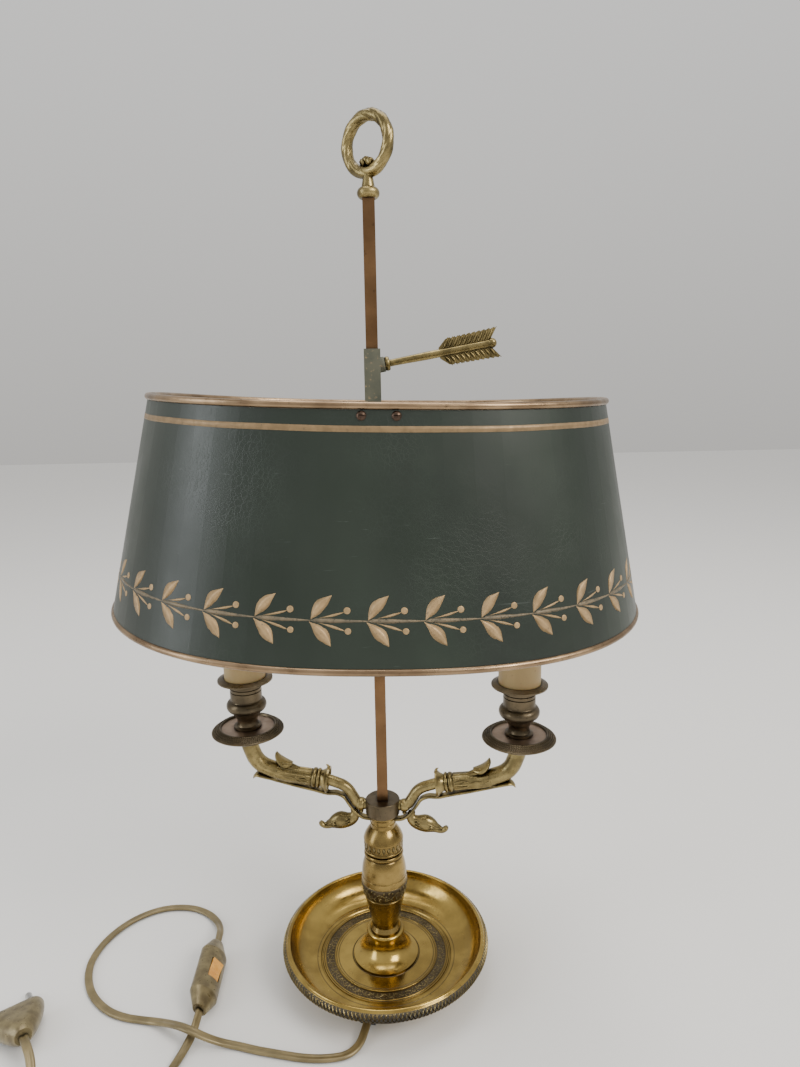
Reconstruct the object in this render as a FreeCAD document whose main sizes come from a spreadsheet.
"""A bouillotte lamp: two candle arms on a turned stem, under an oval painted metal shade.

The shade hangs on a square sleeve that slides on a square rod and is held by an arrow screw.
Millimetres, +Z up. The origin is on the table, under the middle of the stem.
The long axis of the shade lies along X and the front of the lamp faces -Y.
"""
import FreeCAD
import Part
import Sketcher
import math
import os
from types import SimpleNamespace
from FreeCAD import Placement, Rotation, Vector

UP = Vector(0, 0, 1)
SIDES = {"right": 0.0, "left": 180.0}

DRIVING = {
    # Base dish, weight and what closes it from below
    "foot_ring_radius": 45.0, "foot_ring_wall": 5.0, "dish_floor_top": 10.0, "dish_floor_wall": 2.5,
    "dish_floor_radius": 45.5, "crest_radius": 61.0, "crest_top": 25.3, "bowl_bulge": 2.6,
    "knurl_radius": 64.4, "knurl_middle": 21.2, "knurl_half_height": 3.0, "knurl_bulge": 1.4,
    "foot_ring_height": 7.4, "belly_drop": 2.6, "frieze_outer": 38.3, "frieze_inner": 32.7, "frieze_depth": 0.3,
    "groove_radius": 40.9, "groove_width": 1.5, "weight_outer": 37.0, "weight_inner": 20.0,
    "weight_thickness": 4.6, "cover_thickness": 0.8, "felt_thickness": 1.2, "cover_gap": 0.2,
    # Threaded tube that clamps the stem, with its nut and washer
    "tie_radius": 5.0, "tie_bore": 3.4, "tie_gap": 0.35, "washer_radius": 9.0, "washer_thickness": 1.0,
    "nut_width": 14.0, "nut_thickness": 2.4, "tie_below_nut": 0.1,
    # Stem, from the foot bell up to the hub
    "bell_radius": 20.4, "bell_height": 18.3, "bell_lip": 1.0, "bell_throat": 9.6,
    "bell_collar_radius": 11.9, "bell_collar_height": 3.3, "bell_wall": 2.2,
    "barrel_height": 51.9, "barrel_neck_radius": 8.3, "barrel_neck_height": 4.9,
    "barrel_radius": 13.9, "barrel_waist_height": 31.2, "barrel_top_radius": 11.6,
    "barrel_lip_radius": 9.5, "barrel_lip_height": 1.1,
    "ring_radius": 12.25, "ring_height": 2.9, "ring_step_radius": 10.6, "ring_step_height": 0.6,
    "knop_height": 24.4, "knop_foot_radius": 12.0, "knop_foot_height": 1.7, "knop_band_radius": 11.8,
    "knop_shoulder_height": 7.3, "knop_shoulder_radius": 12.3, "knop_neck_radius": 7.75,
    "knop_neck_start": 15.9, "hub_radius": 10.5, "hub_height": 9.3, "hub_chamber_radius": 6.4,
    "hub_roof": 2.1, "hub_edge": 0.5,
    # Arms: the route of the wire in the plane of each arm, and the turned and cast pieces on it
    "arm_turn": -7.7, "arm_drop_from_hub_top": 4.1, "arm_start": 7.9, "arm_reach": 82.3,
    "arm_elbow": 15.3, "arm_rise_foot": 22.0, "arm_rise": 11.5, "arm_mouth": 34.0,
    "arm_mouth_rise": 15.7, "arm_back": 62.0, "arm_back_rise": 19.0, "arm_bend": 77.5,
    "arm_bend_rise": 25.0, "arm_top_rise": 38.5, "pan_rise": 47.1,
    "tube_radius": 3.3, "wire_bore": 2.0, "wire_radius": 0.9, "ball_radius": 4.0,
    "horn_radius": 5.0, "mouth_radius": 8.0, "collar_radius": 6.0, "collar_length": 9.5,
    "throat_radius": 5.0, "fit_gap": 0.05,
    "strap_width": 5.0, "strap_thickness": 1.8, "swan_body": 5.4, "swan_neck": 2.1,
    # Pans, cups, candles, lampholders and bulbs
    "pan_radius": 21.8, "pan_thickness": 2.0, "pan_rim_inner": 16.4, "pan_rim_rise": 1.1,
    "nipple_radius": 2.8, "nipple_below": 5.0, "nipple_above": 6.5,
    "cup_foot_radius": 8.2, "cup_neck_radius": 6.1, "cup_bulge_radius": 12.0, "cup_waist": 17.9,
    "cup_barrel_radius": 9.5, "cup_flange_radius": 16.5, "cup_height": 32.6, "cup_seat_depth": 1.4,
    "cup_wall": 2.0, "candle_radius": 12.3, "candle_wall": 1.0, "candle_length": 65.5,
    "holder_stem_radius": 4.0, "holder_radius": 9.4, "holder_socket_radius": 7.4,
    "holder_socket_depth": 30.0, "holder_body_length": 46.0, "holder_top_gap": 1.0,
    "bulb_cap_radius": 6.9, "bulb_cap_length": 26.0, "bulb_radius": 11.0, "bulb_length": 76.0,
    # Rod, finial, sleeve and arrow screw
    "rod_width": 6.5, "rod_top": 462.4, "rod_spigot_radius": 2.4, "stud_radius": 1.8, "stud_length": 8.0,
    "finial_collar_radius": 6.0, "finial_collar_height": 5.4, "finial_neck_height": 6.2,
    "finial_neck_radius": 3.6, "finial_neck_top": 2.5, "finial_ring_radius": 13.8,
    "finial_tube_radius": 3.0, "finial_turn": -39.0, "finial_knot_radius": 2.4,
    "sleeve_width": 9.0, "sleeve_gap": 0.2, "sleeve_top": 385.5, "sleeve_length": 50.0,
    "arrow_height": 376.2, "arrow_tilt": 10.0, "arrow_boss_radius": 4.1, "arrow_boss_end": 7.0,
    "arrow_thread_radius": 1.6, "arrow_tip_gap": 0.3, "arrow_collar_radius": 3.9,
    "arrow_collar_length": 2.6, "arrow_shaft_radius": 2.2, "arrow_length": 69.5,
    "arrow_vane_start": 37.5, "arrow_vane_span": 8.4, "arrow_vane_thickness": 1.2,
    "arrow_barb_depth": 0.7, "arrow_ball_radius": 2.7,
    # Shade, its beads, bracket and screws
    "shade_top_half_width": 119.75, "shade_bottom_half_width": 141.25, "shade_depth_share": 0.84,
    "shade_top": 359.45, "shade_bottom": 250.95, "shade_top_dip": 3.4, "shade_bottom_dip": 5.5,
    "shade_wall": 0.8,
    "shade_power": 2.4, "shade_lean": 1.6, "shade_shift": 3.0, "bead_radius": 1.65, "bead_gap": 0.02,
    "bracket_width": 25.0, "bracket_thickness": 2.0, "bracket_below_screws": 7.0, "bracket_bend": 1.0,
    "shade_screw_height": 352.0, "shade_screw_spacing": 14.8, "shade_screw_shift": -0.9,
    "shade_screw_radius": 1.5, "shade_screw_head_radius": 2.1, "shade_screw_head": 1.1,
    "shade_screw_slot": 0.5, "shade_nut_width": 5.5, "shade_nut_thickness": 2.2,
    "arrow_seat_gap": 0.05, "shade_contact_gap": 0.2,
    # Cord, its switch and its plug
    "cord_width": 4.8, "cord_thickness": 2.4, "cord_exit_turn": -104.0, "cord_exit_height": 4.3,
    "grommet_width": 9.0, "grommet_height": 4.4, "grommet_flange": 1.2, "cord_slip": 0.1,
    "block_width": 10.0, "block_height": 4.0, "block_reach": 19.5,
    "coil_layers": 4, "coil_turns": 7.5, "coil_outer": 34.6, "coil_pitch": 6.5, "coil_rise": 3.4,
    "switch_length": 52.0, "switch_width": 19.0, "switch_thickness": 12.5, "switch_end_width": 9.5,
    "switch_end_thickness": 6.6, "switch_shoulder": 16.0, "switch_wall": 1.7, "switch_roll": -50.0,
    "rocker_length": 12.4, "rocker_horn": 2.3, "rocker_web": 0.6, "rocker_width": 8.0,
    "rocker_drop": 2.4, "rocker_gap": 0.4, "rocker_tilt": 10.0, "rocker_pin_radius": 1.0,
    "pin_gap": 0.05,
    "plug_length": 27.0, "plug_width": 31.0, "plug_neck_width": 13.0, "plug_thickness": 13.7,
    "plug_pin_spacing": 19.0, "plug_pin_radius": 2.0, "plug_pin_length": 19.0,
    "plug_sleeve_length": 9.0, "plug_sleeve_wall": 0.4,
}


class Length:
    """A size in millimetres that keeps the spreadsheet expression it comes from."""

    def __init__(self, text, value):
        self.text = text
        self.value = float(value)

    def __add__(self, other):
        return joined(self, "+", other)

    def __radd__(self, other):
        return joined(other, "+", self)

    def __sub__(self, other):
        return joined(self, "-", other)

    def __rsub__(self, other):
        return joined(other, "-", self)

    def __mul__(self, other):
        return joined(self, "*", other)

    def __rmul__(self, other):
        return joined(other, "*", self)

    def __truediv__(self, other):
        return joined(self, "/", other)

    def __neg__(self):
        return joined(0, "-", self)

    def __float__(self):
        return self.value


def length(value):
    return value if isinstance(value, Length) else Length(repr(float(value)), value)


def joined(left, sign, right):
    left = length(left)
    right = length(right)
    if sign == "+":
        value = left.value + right.value
    elif sign == "-":
        value = left.value - right.value
    elif sign == "*":
        value = left.value * right.value
    else:
        value = left.value / right.value
    return Length("(%s %s %s)" % (left.text, sign, right.text), value)


doc = FreeCAD.newDocument("bouillotte_lamp")
sheet = doc.addObject("Spreadsheet::Sheet", "sizes")
for line, (name, value) in enumerate(DRIVING.items(), 1):
    sheet.set("A%d" % line, name)
    sheet.set("B%d" % line, str(value))
    sheet.setAlias("B%d" % line, name)
doc.recompute()
mm = SimpleNamespace(**{name: Length("sizes." + name, sheet.get(name)) for name in DRIVING})
nodes = {}


def keep(label, piece):
    """Name a finished piece, so that it is checked and written."""
    piece.Label = label
    nodes[label] = piece
    return piece


def origin_plane(body, role):
    return next(plane for plane in body.Origin.OriginFeatures if plane.Role == role)


def place_point(sketch, edge, end, radius, height):
    """Bind one end of a sketch edge to its distances from the axis and the seat."""
    across = sketch.addConstraint(Sketcher.Constraint("DistanceX", edge, end, radius.value))
    sketch.setExpression("Constraints[%d]" % across, radius.text)
    upward = sketch.addConstraint(Sketcher.Constraint("DistanceY", edge, end, height.value))
    sketch.setExpression("Constraints[%d]" % upward, height.text)


def turned(label, outline, seat=0, place=None):
    """A body of revolution about its own Z axis.

    outline lists (radius, height) corners; ("by", radius, height) between two corners
    makes the edge there an arc through that point.
    """
    body = doc.addObject("PartDesign::Body", label)
    sketch = body.newObject("Sketcher::SketchObject", label + "_outline")
    sketch.AttachmentSupport = [(origin_plane(body, "XZ_Plane"), "")]
    sketch.MapMode = "FlatFace"
    corners = [tuple(length(v) for v in point) for point in outline if point[0] != "by"]
    middles = {}
    count = 0
    for point in outline:
        if point[0] == "by":
            middles[count - 1] = (length(point[1]), length(point[2]))
        else:
            count += 1
    ends = []
    for index, (radius, height) in enumerate(corners):
        next_radius, next_height = corners[(index + 1) % len(corners)]
        start = Vector(radius.value, height.value, 0)
        finish = Vector(next_radius.value, next_height.value, 0)
        if index in middles:
            middle = Vector(middles[index][0].value, middles[index][1].value, 0)
            edge = sketch.addGeometry(Part.Arc(start, middle, finish))
        else:
            edge = sketch.addGeometry(Part.LineSegment(start, finish))
        first = 1 if (sketch.getPoint(edge, 1) - start).Length < 1e-4 else 2
        ends.append((edge, first, 3 - first))
    for index, (edge, first, last) in enumerate(ends):
        after, after_first, _ = ends[(index + 1) % len(ends)]
        sketch.addConstraint(Sketcher.Constraint("Coincident", edge, last, after, after_first))
        place_point(sketch, edge, first, *corners[index])
        if index in middles:
            radius, height = middles[index]
            point = sketch.addGeometry(Part.Point(Vector(radius.value, height.value, 0)), True)
            sketch.addConstraint(Sketcher.Constraint("PointOnObject", point, 1, edge))
            place_point(sketch, point, 1, radius, height)
    spin = body.newObject("PartDesign::Revolution", label + "_turning")
    spin.Profile = sketch
    spin.ReferenceAxis = (sketch, ["V_Axis"])
    spin.Angle = 360
    sketch.Visibility = False
    if place is not None:
        body.Placement = place
    else:
        body.setExpression("Placement.Base.z", length(seat).text)
    return body


def primitive(kind, label, sizes, place=None, **centre):
    """A box, cylinder or other primitive with its sizes and place bound to the sheet."""
    piece = doc.addObject("Part::" + kind, label)
    for name, value in sizes.items():
        piece.setExpression(name, length(value).text)
    if place is not None:
        piece.Placement = place
    for axis, value in centre.items():
        piece.setExpression("Placement.Base." + axis, length(value).text)
    return piece


def cut(label, base, *tools):
    """base with every tool taken out of it."""
    piece = base
    for count, tool in enumerate(tools, 1):
        result = doc.addObject("Part::Cut", label + ("_cut_%d" % count if tool is not tools[-1] else ""))
        result.Base = piece
        result.Tool = tool
        piece = result
    return piece


def joined_up(label, *pieces):
    result = doc.addObject("Part::MultiFuse", label)
    result.Shapes = list(pieces)
    return result


def shaped(label, shape, place=None):
    piece = doc.addObject("Part::Feature", label)
    piece.Shape = shape
    if place is not None:
        piece.Placement = place
    return piece


def group(shapes):
    return Part.makeCompound(shapes)


def rounded_route(points, radii):
    """Straight runs through the points, joined by tangent arcs of the given radii."""
    edges = []
    start = points[0]
    for before, corner, after, radius in zip(points, points[1:], points[2:], radii):
        back = (before - corner).normalize()
        ahead = (after - corner).normalize()
        turn = math.pi - back.getAngle(ahead)
        reach = radius * math.tan(turn / 2)
        enter = corner + back * reach
        leave = corner + ahead * reach
        middle = corner + (back + ahead).normalize() * (radius / math.cos(turn / 2) - radius)
        if (enter - start).Length > 1e-6:
            edges.append(Part.LineSegment(start, enter).toShape())
        edges.append(Part.Arc(enter, middle, leave).toShape())
        start = leave
    edges.append(Part.LineSegment(start, points[-1]).toShape())
    return edges


def loose_radii(points):
    """The arc at each point of a loose cord, as large as its two runs allow."""
    radii = []
    for before, corner, after in zip(points, points[1:], points[2:]):
        turn = math.pi - (before - corner).getAngle(after - corner)
        shorter = min((before - corner).Length, (after - corner).Length)
        radii.append(0.45 * shorter / math.tan(turn / 2))
    return radii


def round_section(centre, along, radius):
    return Part.Wire([Part.Circle(centre, along, radius).toShape()])


def flat_section(centre, along, width, thickness, roll=0.0):
    """A section with round edges, lying flat across the direction along."""
    turn = Rotation(along, roll)
    side = turn.multVec(along.cross(UP).normalize())
    rise = side.cross(along).normalize()
    half = (width - thickness) / 2
    reach = thickness / 2
    right_low, right_high = centre + side * half - rise * reach, centre + side * half + rise * reach
    left_low, left_high = centre - side * half - rise * reach, centre - side * half + rise * reach
    return Part.Wire([
        Part.LineSegment(left_low, right_low).toShape(),
        Part.Arc(right_low, centre + side * (half + reach), right_high).toShape(),
        Part.LineSegment(right_high, left_high).toShape(),
        Part.Arc(left_high, centre - side * (half + reach), left_low).toShape()])


def oval_section(centre, one, other):
    """An ellipse from two half axes, either of which may be the longer."""
    longer, shorter = (one, other) if one.Length >= other.Length else (other, one)
    return Part.Wire([Part.Ellipse(centre + longer, centre + shorter, centre).toShape()])


def swept(edges, section):
    return Part.Wire(edges).makePipeShell([section], True, False)


def tube(points, radii, outer, bore=None):
    """A round rod or tube along straight runs and arcs."""
    along = points[1] - points[0]
    edges = rounded_route(points, radii)
    solid = swept(edges, round_section(points[0], along, outer))
    if bore is not None:
        solid = solid.cut(swept(edges, round_section(points[0], along, bore)))
    return solid


def lofted(points, radii, flat=1.0):
    """A smooth body through circles whose planes follow the line of points."""
    wires = []
    for index, (point, radius) in enumerate(zip(points, radii)):
        before = points[max(index - 1, 0)]
        after = points[min(index + 1, len(points) - 1)]
        along = (after - before).normalize()
        major = along.cross(Vector(0, 1, 0)).normalize()
        wires.append(oval_section(point, major * radius, Vector(0, radius * flat, 0)))
    return Part.makeLoft(wires, True, False)


def arm_place(side):
    return Placement(Vector(0, 0, 0), Rotation(UP, mm.arm_turn.value + SIDES[side]))


# Heights of the stacked pieces, each standing on the one below
bell_seat = mm.dish_floor_top
barrel_seat = bell_seat + mm.bell_height
ring_seat = barrel_seat + mm.barrel_height
knop_seat = ring_seat + mm.ring_height + mm.ring_step_height
hub_seat = knop_seat + mm.knop_height
hub_top = hub_seat + mm.hub_height
arm_level = hub_top - mm.arm_drop_from_hub_top
pan_seat = arm_level + mm.pan_rise
pan_top = pan_seat + mm.pan_thickness
cup_top = pan_top + mm.cup_height
candle_seat = cup_top - mm.cup_seat_depth
candle_top = candle_seat + mm.candle_length
tie_hole = mm.tie_radius + mm.tie_gap
floor_under = mm.dish_floor_top - mm.dish_floor_wall


def make_base():
    foot_inner = mm.foot_ring_radius - mm.foot_ring_wall
    knurl_low = mm.knurl_middle - mm.knurl_half_height
    knurl_high = mm.knurl_middle + mm.knurl_half_height
    knurl_edge = mm.knurl_radius - mm.knurl_bulge
    under_edge = knurl_edge - 2.2
    under_level = knurl_low - 0.4
    groove_in = mm.groove_radius - mm.groove_width / 2
    groove_out = mm.groove_radius + mm.groove_width / 2
    frieze_low = mm.dish_floor_top - mm.frieze_depth
    outline = [
        (foot_inner, 0), (mm.foot_ring_radius, 0), (mm.foot_ring_radius, mm.foot_ring_height),
        ("by", (mm.foot_ring_radius + under_edge) / 2,
         (mm.foot_ring_height + under_level) / 2 - mm.belly_drop),
        (under_edge, under_level), (knurl_edge, knurl_low),
        ("by", mm.knurl_radius, mm.knurl_middle), (knurl_edge, knurl_high),
        (mm.crest_radius + 1.3, mm.crest_top - 0.6), ("by", mm.crest_radius, mm.crest_top),
        (mm.crest_radius - 0.8, mm.crest_top - 0.5),
        ("by", mm.crest_radius - mm.bowl_bulge * 2.0, mm.dish_floor_top + mm.bowl_bulge * 1.8),
        (mm.dish_floor_radius, mm.dish_floor_top),
        (groove_out, mm.dish_floor_top), (groove_out - 0.4, frieze_low - 0.2),
        (groove_in + 0.4, frieze_low - 0.2), (groove_in, mm.dish_floor_top),
        (mm.frieze_outer, mm.dish_floor_top), (mm.frieze_outer, frieze_low),
        (mm.frieze_inner, frieze_low), (mm.frieze_inner, mm.dish_floor_top),
        (tie_hole, mm.dish_floor_top), (tie_hole, floor_under), (foot_inner, floor_under)]
    dish = turned("base_dish_turned", outline)
    exit_turn = Placement(Vector(0, 0, 0), Rotation(UP, mm.cord_exit_turn.value))
    slot = primitive("Box", "cord_slot", {
        "Length": mm.foot_ring_radius, "Width": mm.grommet_width, "Height": mm.grommet_height},
        exit_turn * Placement(Vector((foot_inner - mm.grommet_flange * 2).value, -mm.grommet_width.value / 2,
                                     (mm.cord_exit_height - mm.grommet_height / 2).value), Rotation()))
    keep("base_dish", cut("base_dish", dish, slot))

    cover_low = mm.felt_thickness
    cover_radius = foot_inner - mm.cover_gap
    weight_low = floor_under - mm.weight_thickness
    keep("base_felt", turned("base_felt", [(0, 0), (cover_radius, 0), (cover_radius, mm.felt_thickness),
                                           (0, mm.felt_thickness)]))
    keep("base_cover", turned("base_cover", [(0, 0), (cover_radius, 0), (cover_radius, mm.cover_thickness),
                                             (0, mm.cover_thickness)], cover_low))
    ring = turned("base_weight_ring", [
        (mm.weight_inner, 0), (mm.weight_outer, 0), (mm.weight_outer, mm.weight_thickness),
        (mm.weight_inner, mm.weight_thickness)], weight_low)
    channel = primitive("Box", "weight_channel", {
        "Length": mm.foot_ring_radius, "Width": mm.block_width + 1.0, "Height": mm.weight_thickness * 2},
        exit_turn * Placement(Vector(mm.tie_radius.value, -(mm.block_width.value + 1.0) / 2,
                                     (weight_low - mm.weight_thickness / 2).value), Rotation()))
    keep("base_weight", cut("base_weight", ring, channel))


def make_tie_rod():
    washer_low = floor_under - mm.washer_thickness
    nut_low = washer_low - mm.nut_thickness
    tie_low = nut_low - mm.tie_below_nut
    chamber_floor = arm_level - mm.wire_bore - 0.4
    keep("tie_tube", turned("tie_tube", [
        (mm.tie_bore, 0), (mm.tie_radius, 0), (mm.tie_radius, chamber_floor - tie_low),
        (mm.tie_bore, chamber_floor - tie_low)], tie_low))
    keep("tie_washer", turned("tie_washer", [
        (mm.tie_radius + 0.1, 0), (mm.washer_radius, 0), (mm.washer_radius, mm.washer_thickness),
        (mm.tie_radius + 0.1, mm.washer_thickness)], washer_low))
    hexagon = primitive("Prism", "tie_nut_hexagon", {
        "Circumradius": mm.nut_width / math.sqrt(3), "Height": mm.nut_thickness}, z=nut_low)
    hole = primitive("Cylinder", "tie_nut_hole", {
        "Radius": mm.tie_radius, "Height": mm.nut_thickness * 3}, z=nut_low - mm.nut_thickness)
    keep("tie_nut", cut("tie_nut", hexagon, hole))


def make_stem():
    collar_low = mm.bell_height - mm.bell_collar_height
    wall = mm.bell_wall
    keep("foot_bell", turned("foot_bell", [
        (mm.bell_radius - wall, 0), (mm.bell_radius, 0), (mm.bell_radius, mm.bell_lip),
        ("by", mm.bell_throat + 2.6, mm.bell_lip + 4.6), (mm.bell_throat, collar_low),
        (mm.bell_collar_radius - 1.2, collar_low),
        ("by", mm.bell_collar_radius, collar_low + mm.bell_collar_height / 2),
        (mm.bell_collar_radius - 1.2, mm.bell_height), (tie_hole, mm.bell_height),
        (tie_hole, collar_low - 1.0), ("by", mm.bell_throat + 0.4, mm.bell_lip + 3.2)], bell_seat))

    frieze_low = mm.barrel_height * 0.48
    frieze_high = mm.barrel_height * 0.75
    line = 0.25
    keep("stem_barrel", turned("stem_barrel", [
        (tie_hole, 0), (mm.barrel_lip_radius, 0), (mm.barrel_lip_radius, mm.barrel_lip_height),
        (mm.barrel_neck_radius, mm.barrel_neck_height - 1.2),
        (mm.barrel_neck_radius, mm.barrel_neck_height + 1.1),
        ("by", mm.barrel_radius - 2.9, mm.barrel_neck_height + 12.4),
        (mm.barrel_radius - 1.2, frieze_low), (mm.barrel_radius - 1.2 - line, frieze_low + 0.3),
        (mm.barrel_radius - 1.1, frieze_low + 0.6),
        ("by", mm.barrel_radius, mm.barrel_waist_height), (mm.barrel_radius - 0.05, frieze_high - 0.6),
        (mm.barrel_radius - line - 0.1, frieze_high - 0.3), (mm.barrel_radius - 0.1, frieze_high),
        ("by", mm.barrel_radius - 0.75, frieze_high + 7.0),
        (mm.barrel_top_radius, mm.barrel_height - 0.9), (mm.barrel_top_radius - 0.8, mm.barrel_height),
        (tie_hole, mm.barrel_height)], barrel_seat))

    keep("stem_ring", turned("stem_ring", [
        (tie_hole, 0), (mm.ring_radius - 1.2, 0), ("by", mm.ring_radius, mm.ring_height / 2),
        (mm.ring_radius - 1.2, mm.ring_height), (mm.ring_step_radius, mm.ring_height),
        (mm.ring_step_radius, mm.ring_height + mm.ring_step_height),
        (tie_hole, mm.ring_height + mm.ring_step_height)], ring_seat))

    shoulder = mm.knop_shoulder_height
    neck = mm.knop_neck_start
    keep("stem_knop", turned("stem_knop", [
        (tie_hole, 0), (mm.knop_foot_radius - 0.5, 0), ("by", mm.knop_foot_radius, mm.knop_foot_height / 2),
        (mm.knop_foot_radius - 0.5, mm.knop_foot_height),
        (mm.knop_band_radius - 0.3, mm.knop_foot_height + 0.4),
        (mm.knop_band_radius, mm.knop_foot_height + 0.8), (mm.knop_band_radius, shoulder - 0.5),
        (mm.knop_shoulder_radius, shoulder), (mm.knop_shoulder_radius, shoulder + 0.9),
        ("by", mm.knop_neck_radius + 2.9, shoulder + 4.8), (mm.knop_neck_radius, neck),
        (mm.knop_neck_radius, neck + 2.6), (mm.knop_neck_radius + 0.3, neck + 2.9),
        (mm.knop_neck_radius, neck + 3.2), (mm.knop_neck_radius, neck + 5.6),
        (mm.knop_neck_radius + 0.3, neck + 5.9), (mm.knop_neck_radius, neck + 6.2),
        (mm.knop_neck_radius, mm.knop_height), (tie_hole, mm.knop_height)], knop_seat))

    edge = mm.hub_edge
    chamber_low = mm.hub_height - mm.arm_drop_from_hub_top - mm.wire_bore - 0.4
    chamber_top = mm.hub_height - mm.hub_roof
    hub = turned("arm_hub_turned", [
        (tie_hole, 0), (mm.hub_radius - edge, 0), (mm.hub_radius, edge),
        (mm.hub_radius, mm.hub_height - edge), (mm.hub_radius - edge, mm.hub_height),
        (mm.rod_spigot_radius, mm.hub_height), (mm.rod_spigot_radius, chamber_top),
        (mm.hub_chamber_radius, chamber_top), (mm.hub_chamber_radius, chamber_low), (tie_hole, chamber_low)],
        hub_seat)
    holes = []
    for side in SIDES:
        sideways = Placement(Vector(0, 0, arm_level.value), Rotation(Vector(0, 1, 0), 90))
        holes.append(primitive("Cylinder", "arm_hole_" + side, {
            "Radius": mm.tube_radius, "Height": mm.hub_radius * 2}, arm_place(side) * sideways))
    keep("arm_hub", cut("arm_hub", hub, *holes))


def arm_route():
    """The middle of the wire's way, from the hub out to the pan, in the plane of an arm."""
    level = arm_level
    steps = [(mm.arm_start, 0), (mm.arm_elbow, 0), (mm.arm_rise_foot, mm.arm_rise),
             (mm.arm_mouth, mm.arm_mouth_rise), (mm.arm_back, mm.arm_back_rise),
             (mm.arm_bend, mm.arm_bend_rise), (mm.arm_reach, mm.arm_top_rise), (mm.arm_reach, mm.pan_rise)]
    points = [Vector(float(along), 0, (level + rise).value) for along, rise in steps]
    return points, [5.0, 12.0, 30.0, 30.0, 14.0, 20.0]


def make_arm(side):
    points, radii = arm_route()
    place = arm_place(side)
    mouth = points[3]
    along = (points[4] - mouth).normalize()
    tube_end = mouth + along * (mm.collar_length.value - 1.5)
    horn_start = mouth + along * mm.collar_length.value
    lean = Placement(mouth, Rotation(UP, along))

    tube_points = points[:4] + [tube_end]
    arm_tube = tube(tube_points, radii[:3], mm.tube_radius.value)
    ball = Part.makeSphere(mm.ball_radius.value, Vector(mm.hub_radius.value + 2.9, 0, arm_level.value))
    hub_clear = Part.makeCylinder(mm.hub_radius.value, 20, Vector(0, 0, arm_level.value - 10))
    bore = tube(tube_points, radii[:3], mm.wire_bore.value)
    keep("arm_tube_" + side, shaped("arm_tube_" + side, arm_tube.fuse(ball.cut(hub_clear)).cut(bore), place))

    bore_radius = mm.tube_radius + mm.fit_gap
    seat = mm.collar_length - 1.5
    throat = mm.throat_radius
    ring = mm.collar_radius
    keep("arm_collar_" + side, turned("arm_collar_" + side, [
        (bore_radius, seat), (bore_radius, 4.4), ("by", mm.mouth_radius - 3.2, 1.6),
        (mm.mouth_radius - 0.7, -1.0), (mm.mouth_radius, -1.0), (mm.mouth_radius, 0.1),
        ("by", throat + 0.9, 2.1), (throat, 4.0),
        (ring - 0.6, 4.2), ("by", ring, 5.2), (ring - 0.6, 6.2), (throat + 0.2, 6.4), (ring - 0.5, 6.6),
        ("by", ring, 7.8), (ring - 0.5, 9.0), (mm.horn_radius, mm.collar_length),
        (mm.wire_bore, mm.collar_length), (mm.wire_bore, seat)], place=place * lean))

    horn_points = [horn_start] + points[4:]
    horn = tube(horn_points, radii[3:], mm.horn_radius.value)
    bend = points[5]
    upper_leaf = lofted([
        bend + Vector(-22, 0, 0.2), bend + Vector(-16, 0, 1.2), bend + Vector(-13.2, 0, 4.4),
        bend + Vector(-12.4, 0, 7.6)], [1.0, 2.2, 1.6, 0.5], 2.2)
    lower_leaf = lofted([
        bend + Vector(-14, 0, -9.3), bend + Vector(-6, 0, -8.4), bend + Vector(0.4, 0, -7.4),
        bend + Vector(2.9, 0, -9.2)], [0.8, 1.5, 1.3, 0.5], 2.6)
    horn_bore = tube(horn_points, radii[3:], mm.wire_bore.value)
    nipple = Part.makeCylinder(mm.nipple_radius.value, mm.nipple_below.value + 1,
                               points[-1] - UP * mm.nipple_below.value)
    solid = horn.fuse([upper_leaf, lower_leaf]).cut(horn_bore).cut(nipple)
    keep("arm_horn_" + side, shaped("arm_horn_" + side, solid, place))

    level = arm_level.value
    neck_side = mm.knop_neck_radius.value
    strap_points = [Vector(along_arm, 0, level + rise) for along_arm, rise in [
        (mm.arm_bend.value - 1.5, 17.4), (67.7, 14.9), (52.0, 10.9), (41.3, 8.6), (34.2, 6.6), (28.2, 7.0),
        (23.6, 4.9), (20.7, 0.0), (16.8, -5.4), (12.4, -8.9), (neck_side - 1.0, -9.3)]]
    strap = swept(rounded_route(strap_points, loose_radii(strap_points)),
                  flat_section(strap_points[0], strap_points[1] - strap_points[0],
                               mm.strap_width.value, mm.strap_thickness.value))
    body = mm.swan_body.value
    neck = mm.swan_neck.value
    swan = lofted([Vector(along_arm, 0, level + rise) for along_arm, rise in [
        (18.6, -3.7), (17.4, -6.3), (18.3, -9.1), (21.5, -11.0), (25.5, -11.5), (29.5, -12.7), (33.0, -14.4),
        (36.0, -15.4), (37.8, -14.4)]],
        [neck * 0.85, neck * 1.25, body * 0.66, body * 0.85, body, body * 0.88, body * 0.55, body * 0.3,
         body * 0.15], 0.8)
    stem = Part.makeCylinder(neck_side, 30, Vector(0, 0, level - 20))
    mouth_tool = Part.makeCylinder(mm.mouth_radius.value, 1.2, mouth - along, along)
    collar_tool = Part.makeCylinder(mm.collar_radius.value, mm.collar_length.value, mouth, along)
    bracket = strap.fuse(swan)
    for tool in (horn, lower_leaf, stem, arm_tube, ball, mouth_tool, collar_tool):
        bracket = bracket.cut(tool)
    keep("swan_bracket_" + side, shaped("swan_bracket_" + side, bracket, place))


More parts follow.
